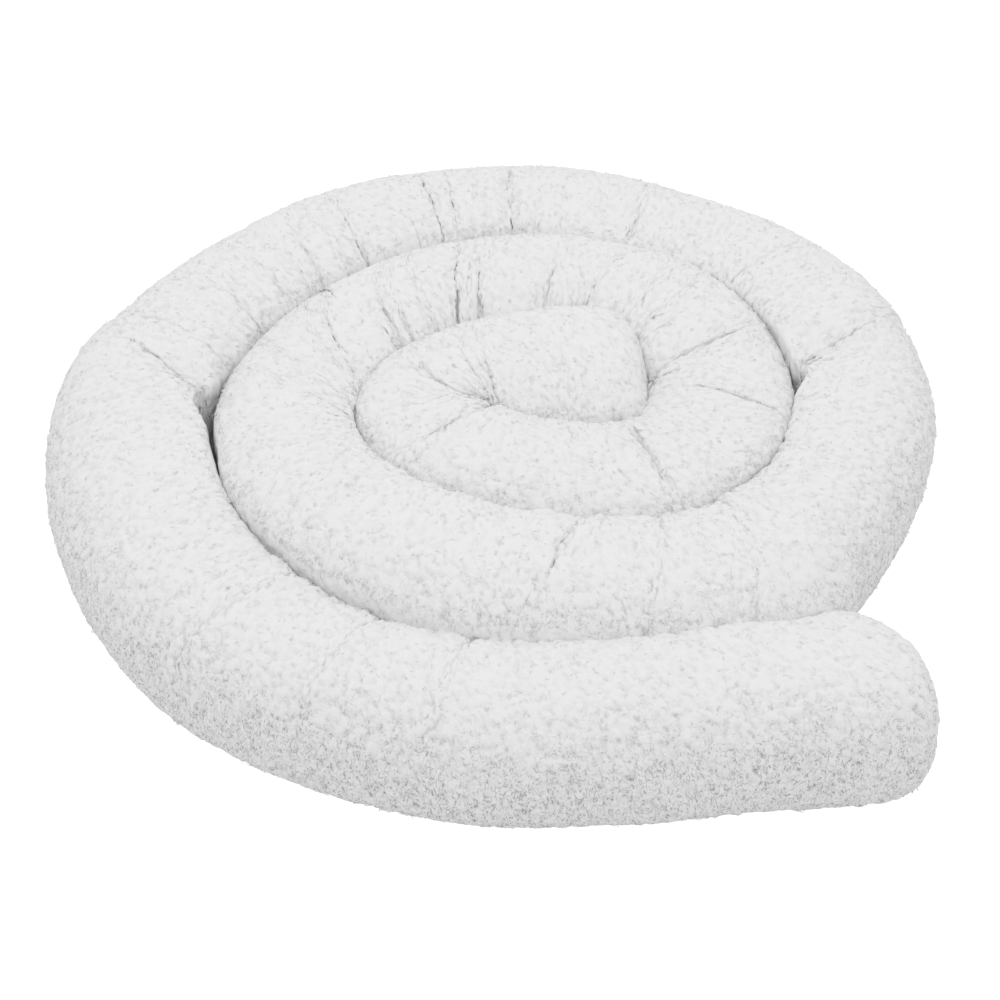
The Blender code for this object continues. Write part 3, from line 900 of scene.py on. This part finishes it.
def curly_pile():
    """Pits between the loops of yarn, where the material paints shade, and the loops' own grain, as masks
    from
    0 to 1, and the height.
    """
    kinds = {"Vector": "NodeSocketVector", "Side shade": "NodeSocketFloat", "Gap": "NodeSocketFloat"}
    results = {"Pits": "NodeSocketFloat", "Grain": "NodeSocketFloat", "Height": "NodeSocketFloat"}
    tree, given, result = new_group("curly pile", kinds, results)
    spot = given.outputs["Vector"]

    def noise(size, detail, roughness=0.5, distortion=0.0):
        made = node(
            tree, "ShaderNodeTexNoise", Vector=spot, Scale=1 / size, Detail=detail, Roughness=roughness,
            Distortion=distortion,
        )
        return made.outputs["Fac"]

    def line(value, width):
        """1 where a noise crosses its middle value, falling to 0 at a width to both sides."""
        off = maths(tree, "ABSOLUTE", maths(tree, "SUBTRACT", value, 0.5))
        return maths(tree, "SUBTRACT", 1.0, fade(tree, off, width * LINE_CORE, width))

    loops = noise(LOOP_SIZE, 1.0, 0.6, 0.8)
    grain = noise(FIBRE_SIZE, 1.0, 0.6)
    tufts = noise(TUFT_SIZE, 1.0, 0.5, 0.5)
    parting = noise(PARTING_SIZE, 2.0, 0.6)
    opened = maths(tree, "MULTIPLY", parting, PARTING_OPENS)
    # more pits of painted shade on steep sides, as they get less light from above
    opened = maths(tree, "MULTIPLY_ADD", given.outputs["Side shade"], SIDE_SHADE_OPENS, opened)
    opened = maths(tree, "MULTIPLY_ADD", given.outputs["Gap"], GAP_OPENS, opened)
    opened = maths(tree, "MULTIPLY_ADD", line(tufts, TUFT_LINE), TUFTS_OPEN, opened)
    where = fade(tree, opened, *OPEN_FADE)
    broken = maths(tree, "MULTIPLY", line(loops, LOOP_LINE), fade(tree, grain, *LOOP_BREAK))
    pits = maths(tree, "MULTIPLY", broken, where)
    tree.links.new(pits, result.inputs["Pits"])
    tree.links.new(grain, result.inputs["Grain"])
    lifted = maths(tree, "MULTIPLY_ADD", grain, GRAIN_RISE, maths(tree, "SUBTRACT", 0.0, pits))
    tree.links.new(lifted, result.inputs["Height"])
    return tree


# %% Fleece
YARN_WHITE = 0.90
YARN_ROUGHNESS = 0.95
# painted shade of the pits: how dark it is at most, and the least share of it, where the cover is flat
PIT_SHADE = 0.42
PIT_SHADE_LEAST = 0.38
GRAIN_DEPTH = 0.22
HANG = 0.5
BUMP_STRENGTH = 0.5
BUMP_DISTANCE = 0.0010

fleece, shader = plain_material("fleece", (YARN_WHITE,) * 3, YARN_ROUGHNESS)
tree = fleece.node_tree
coordinates = node(tree, "ShaderNodeTexCoord")
hang = node(tree, "ShaderNodeMapping", Vector=coordinates.outputs["Object"], Scale=(1.0, 1.0, HANG))
gap = node(tree, "ShaderNodeAttribute", {"attribute_name": "gap"})
# the share of painted shade on the sides, which the points carry
side_shade = node(tree, "ShaderNodeAttribute", {"attribute_name": "side_shade"})
pile_nodes = node(tree, "ShaderNodeGroup", {"node_tree": curly_pile()}, Vector=hang.outputs["Vector"])
tree.links.new(side_shade.outputs["Fac"], pile_nodes.inputs["Side shade"])
tree.links.new(gap.outputs["Fac"], pile_nodes.inputs["Gap"])
# painted shade: the pits are darkened in the base colour, least where the cover is flat and most on its
# steep sides
shade_and_grain_strength = maths(tree, "MULTIPLY_ADD", side_shade.outputs["Fac"], 1 - PIT_SHADE_LEAST, PIT_SHADE_LEAST)
pit_shade = maths(tree, "MULTIPLY", pile_nodes.outputs["Pits"], maths(tree, "MULTIPLY", shade_and_grain_strength, PIT_SHADE))
grain = maths(tree, "MULTIPLY", maths(tree, "SUBTRACT", pile_nodes.outputs["Grain"], 0.5), GRAIN_DEPTH)
# the grain is the yarn's own random tone, made stronger on steep sides by the share that sets the painted
# shade
grain = maths(tree, "MULTIPLY", grain, shade_and_grain_strength)
tone = maths(tree, "ADD", maths(tree, "SUBTRACT", YARN_WHITE, pit_shade), grain)
tree.links.new(tone, shader.inputs["Base Color"])
height = pile_nodes.outputs["Height"]
bump = node(tree, "ShaderNodeBump", Strength=BUMP_STRENGTH, Distance=BUMP_DISTANCE, Height=height)
tree.links.new(bump.outputs["Normal"], shader.inputs["Normal"])
mesh.materials.append(fleece)

# %% [markdown]
# ## Loose curls
#
# Along its edge the fleece is never smooth, because single curls stand out of the pile. Each one here is a
# short bent strand with three sides, thick at its root and thin at its tip. Thousands of them are strewn
# over the cover, more thickly along the contacts of two turns, and joined into one mesh, so that they cost
# little. Each lies almost flat and bends in a direction of its own, as brushed yarn does.

# %% Loose curls
CURL_COUNT = 13000
EDGE_SHARE = 12.0
EDGE_HEIGHT = 0.06
BARE_HEIGHT = 0.008
BARE_PRESS = 0.9
CURL_LENGTH = (0.0020, 0.0055)
CURL_RADIUS = 0.00034
CURL_TAPER = 0.75
CURL_TURN = 1.6
CURL_RISE = (0.10, 0.40)
CURL_ROOT = 0.08
CURL_STEPS = 2
CURL_CORNERS = (90.0, 210.0, 330.0)
LOOSE_WHITE = 0.93
LOOSE_ROUGHNESS = 0.9


def strew(count, seed):
    """Random spots on the grid, by looking up even random numbers in the running total of the cells'
    areas. An area counts more where the pressing of two turns begins, high up, and not at all near the
    floor or where they press hard."""
    generator = np.random.default_rng(seed)
    down, along = np.diff(pile[:, :-1], axis=0), np.diff(pile, axis=1)[:-1]
    edge = (4 * press * (1 - press) * (smooth[..., 2] > roll_low.z + EDGE_HEIGHT))[:-1, :-1]
    bare = (stuffed[:-1, :-1, 2] > roll_low.z + BARE_HEIGHT) * (press[:-1, :-1] < BARE_PRESS)
    area = np.linalg.norm(np.cross(down, along), axis=2) * (bare + EDGE_SHARE * edge)
    total = np.cumsum(area.ravel())
    drawn = np.searchsorted(total, generator.uniform(0, total[-1], count))
    return np.unravel_index(drawn, area.shape), generator


def curl_strands(count, seed):
    """Points of all strands, as (strand, step, corner): each strand is an arc that leaves the surface at
    a low angle and turns back to it, with a triangle of shrinking size as its section."""
    (ring, step), generator = strew(count, seed)
    root, normal = pile[ring, step], normals_of(stuffed)[ring, step]
    aside = np.cross(normal, generator.normal(size=(count, 3)))
    aside /= np.linalg.norm(aside, axis=1, keepdims=True)
    length = generator.uniform(*CURL_LENGTH, count)[:, None, None]
    turn = generator.uniform(-CURL_TURN, CURL_TURN, count)[:, None, None]
    rise = generator.uniform(*CURL_RISE, count)[:, None, None]
    along = np.linspace(0, 1, CURL_STEPS + 1)[None, :, None]
    across = np.cross(normal, aside)[:, None, :]
    forward, up = aside[:, None, :], normal[:, None, :]
    middle = root[:, None, :] + length * (
        forward * np.sin(turn * along) / turn + across * (1 - np.cos(turn * along)) / turn
        + up * (rise * np.sin(np.pi * along) - CURL_ROOT)
    )
    radius = CURL_RADIUS * (1 - CURL_TAPER * along)[..., None]
    angles = np.radians(CURL_CORNERS)[None, None, :, None]
    corners = across[:, :, None, :] * np.cos(angles) + up[:, :, None, :] * np.sin(angles)
    return middle[:, :, None, :] + radius * corners


strands = curl_strands(CURL_COUNT, 5)
strands[..., 2] = np.maximum(strands[..., 2], roll_low.z)
first = np.arange(CURL_COUNT)[:, None, None] * 3 * (CURL_STEPS + 1)
step = np.arange(CURL_STEPS)[None, :, None] * 3
corner = np.arange(3)[None, None, :]
after = (corner + 1) % 3
near, far = first + step, first + step + 3
sides = np.stack([near + corner, near + after, far + after, far + corner], -1)
caps = np.stack([first[:, 0] + [2, 1, 0], first[:, 0] + 3 * CURL_STEPS + [0, 1, 2]], 1).reshape(-1, 3)
tufts = mesh_of("loose_curls", strands.reshape(-1, 3), sides.reshape(-1, 4), caps)
yarn = plain_material("yarn", (LOOSE_WHITE,) * 3, LOOSE_ROUGHNESS)[0]
tufts.materials.append(yarn)
loose = bpy.data.objects.new("loose_curls", tufts)
bpy.context.scene.collection.objects.link(loose)
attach(loose, "root")
print(CURL_COUNT, "curls with", len(tufts.polygons), "faces")

# %% Declare
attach(roll, "root")
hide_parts("bumper_roll")
